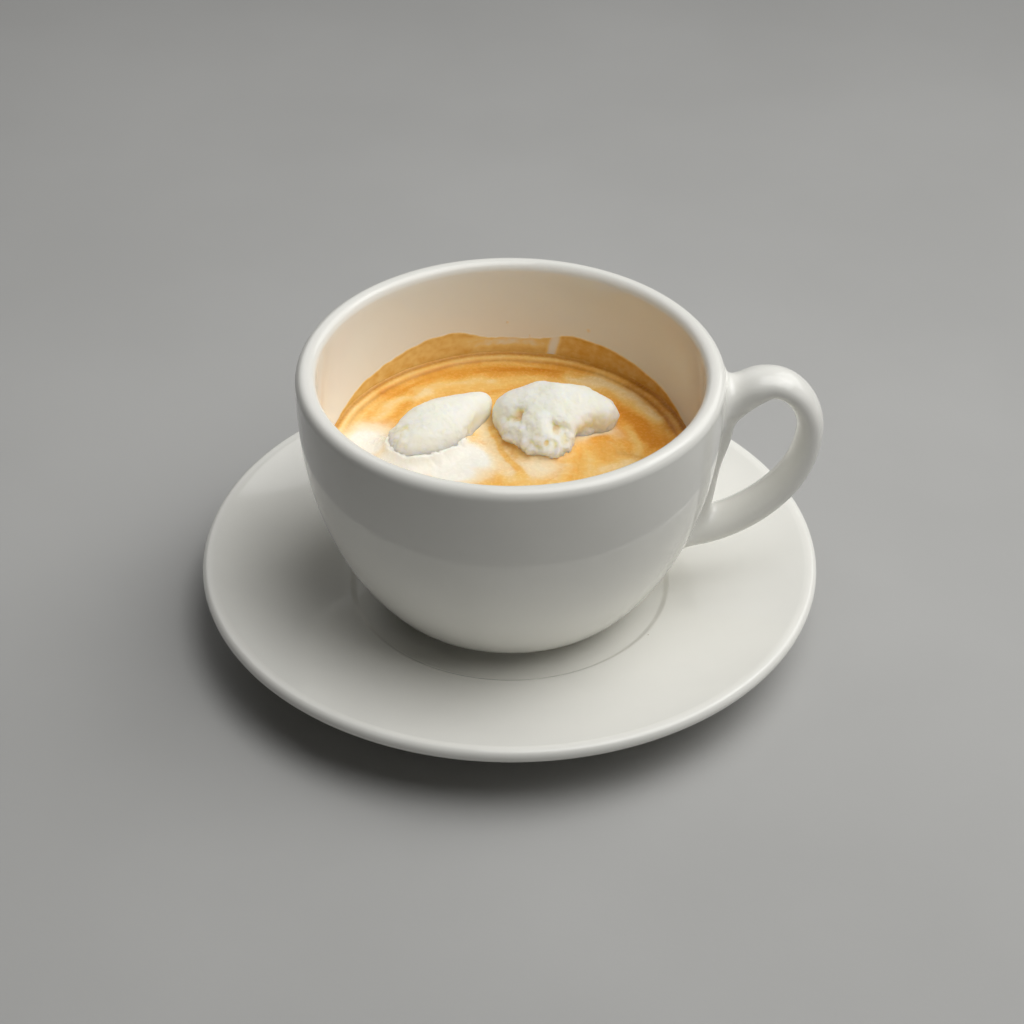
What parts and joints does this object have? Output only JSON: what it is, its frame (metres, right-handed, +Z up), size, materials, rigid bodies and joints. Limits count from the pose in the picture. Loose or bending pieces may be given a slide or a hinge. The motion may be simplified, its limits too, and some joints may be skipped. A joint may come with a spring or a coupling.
{
  "type": "affogato",
  "caption": "Affogato: lumps of vanilla ice cream in coffee with crema, served in a round porcelain cup with an ear handle, on a saucer.",
  "frame": {"origin": "on the table, under the middle of the saucer", "axes": "+Z up, +X along the cup's handle, -Y towards the drinker"},
  "size_m": [0.149, 0.149, 0.0695],
  "materials": {
    "porcelain": "glossy white glaze, slightly warm",
    "crema": "wet tan foam with paler swirls",
    "ice_cream": "soft, softly melting vanilla ice cream"
  },
  "bodies": {
    "root": {"saucer": "porcelain", "cup": "porcelain", "coffee": "crema", "ice_cream_left": "ice_cream", "ice_cream_right": "ice_cream"}
  },
  "joints": []
}
